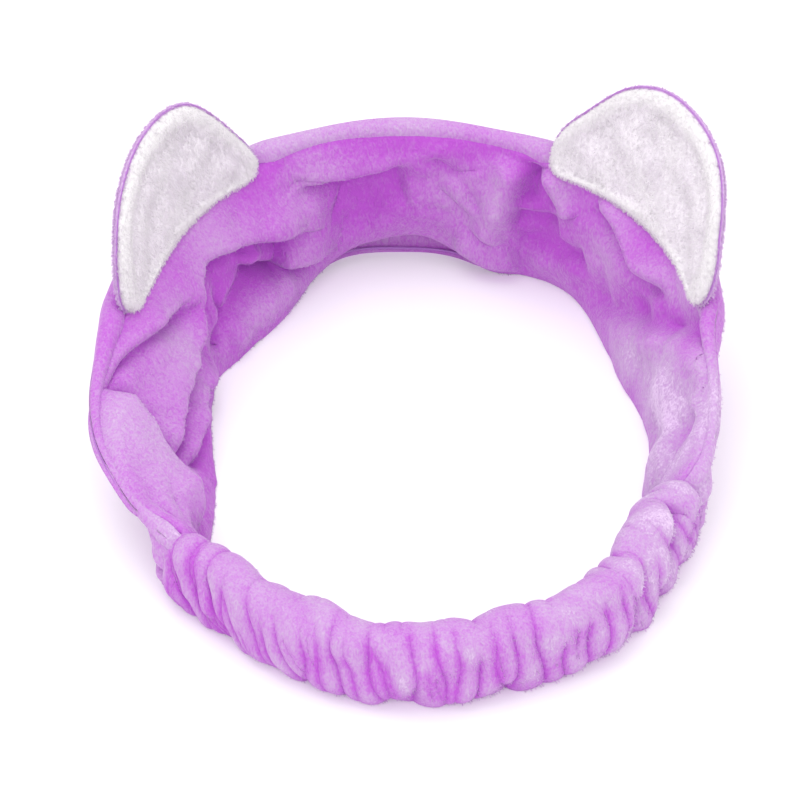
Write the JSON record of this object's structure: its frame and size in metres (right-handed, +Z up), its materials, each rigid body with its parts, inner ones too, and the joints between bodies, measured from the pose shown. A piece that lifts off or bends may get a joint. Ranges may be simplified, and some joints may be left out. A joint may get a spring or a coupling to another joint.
{
  "type": "plush spa headband",
  "caption": "Closed-loop plush fleece headband with a wide padded front, two rounded upright ears and a narrow gathered elastic back.",
  "frame": {"origin": "middle of the loop's bounding box, on the surface that its lower edge stands on", "axes": "+Z up the loop's own axis, +Y to the wide front of the band, +X to the wearer's side of the right-named ear"},
  "size_m": [0.1826, 0.182, 0.0907],
  "materials": {
    "purple_fleece": "soft coral-fleece pile",
    "white_fleece": "soft short pile",
    "wadding": "loose polyester wadding",
    "thread": "sewing thread",
    "elastic": "woven elastic"
  },
  "bodies": {
    "band": {"band_outer_panel": "purple_fleece", "band_lining_panel": "purple_fleece", "band_top_seam": "thread", "band_bottom_seam": "thread", "right_end_seam": "thread", "left_end_seam": "thread", "right_ear_base_seam": "thread", "left_ear_base_seam": "thread"},
    "right_ear": {"right_ear_front_panel": "white_fleece", "right_ear_pad": "wadding", "right_ear_back_panel": "purple_fleece", "right_ear_edge_seam": "thread"},
    "left_ear": {"left_ear_front_panel": "white_fleece", "left_ear_pad": "wadding", "left_ear_back_panel": "purple_fleece", "left_ear_edge_seam": "thread"},
    "rear": {"elastic_sleeve": "purple_fleece", "sleeve_seam": "thread", "elastic_strap": "elastic", "right_elastic_tack": "thread", "left_elastic_tack": "thread"}
  },
  "joints": [
    {"name": "right_ear_fold", "type": "hinge", "parent": "band", "child": "right_ear", "pos_m": [0.06586, 0.05238, 0.0595], "axis": [0.6225, -0.7826, 0], "range_deg": [-60, 105], "stiffness_Nm_per_rad": 0.03},
    {"name": "left_ear_fold", "type": "hinge", "parent": "band", "child": "left_ear", "pos_m": [-0.06586, 0.05238, 0.0595], "axis": [0.6225, 0.7826, 0], "range_deg": [-60, 105], "stiffness_Nm_per_rad": 0.03},
    {"name": "elastic_stretch", "type": "slide", "parent": "band", "child": "rear", "axis": [0, -1, 0], "range_m": [0, 0.045], "stiffness_N_per_m": 80}
  ]
}
